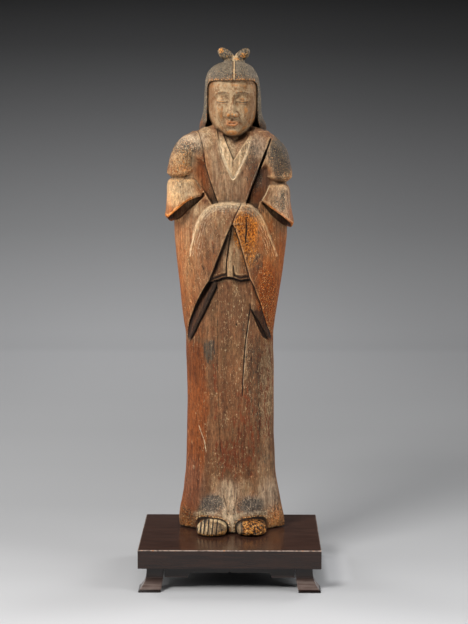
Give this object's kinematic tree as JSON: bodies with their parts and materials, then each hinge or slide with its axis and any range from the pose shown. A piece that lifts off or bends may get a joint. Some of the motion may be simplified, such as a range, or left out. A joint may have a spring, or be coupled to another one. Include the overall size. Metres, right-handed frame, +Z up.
{
  "type": "shinto deity statue",
  "caption": "Standing robed deity carved from one block of wood, hands joined in long hanging sleeves, on a low footed lacquer stand.",
  "frame": {"origin": "on the floor, under the middle of the stand", "axes": "+Z up along the figure; the figure faces -Y; +X is the viewer's right and the figure's left"},
  "size_m": [0.345, 0.2692, 1.0147],
  "materials": {
    "carved_wood": "dry aged wood with remains of paint, matte",
    "stand_lacquer": "dark brown lacquer, glossy"
  },
  "bodies": {
    "root": {"figure": "carved_wood", "board": "stand_lacquer", "apron_front": "stand_lacquer", "apron_back": "stand_lacquer", "apron_left": "stand_lacquer", "apron_right": "stand_lacquer", "foot_front_right": "stand_lacquer", "foot_front_left": "stand_lacquer", "foot_back_right": "stand_lacquer", "foot_back_left": "stand_lacquer"}
  },
  "joints": []
}
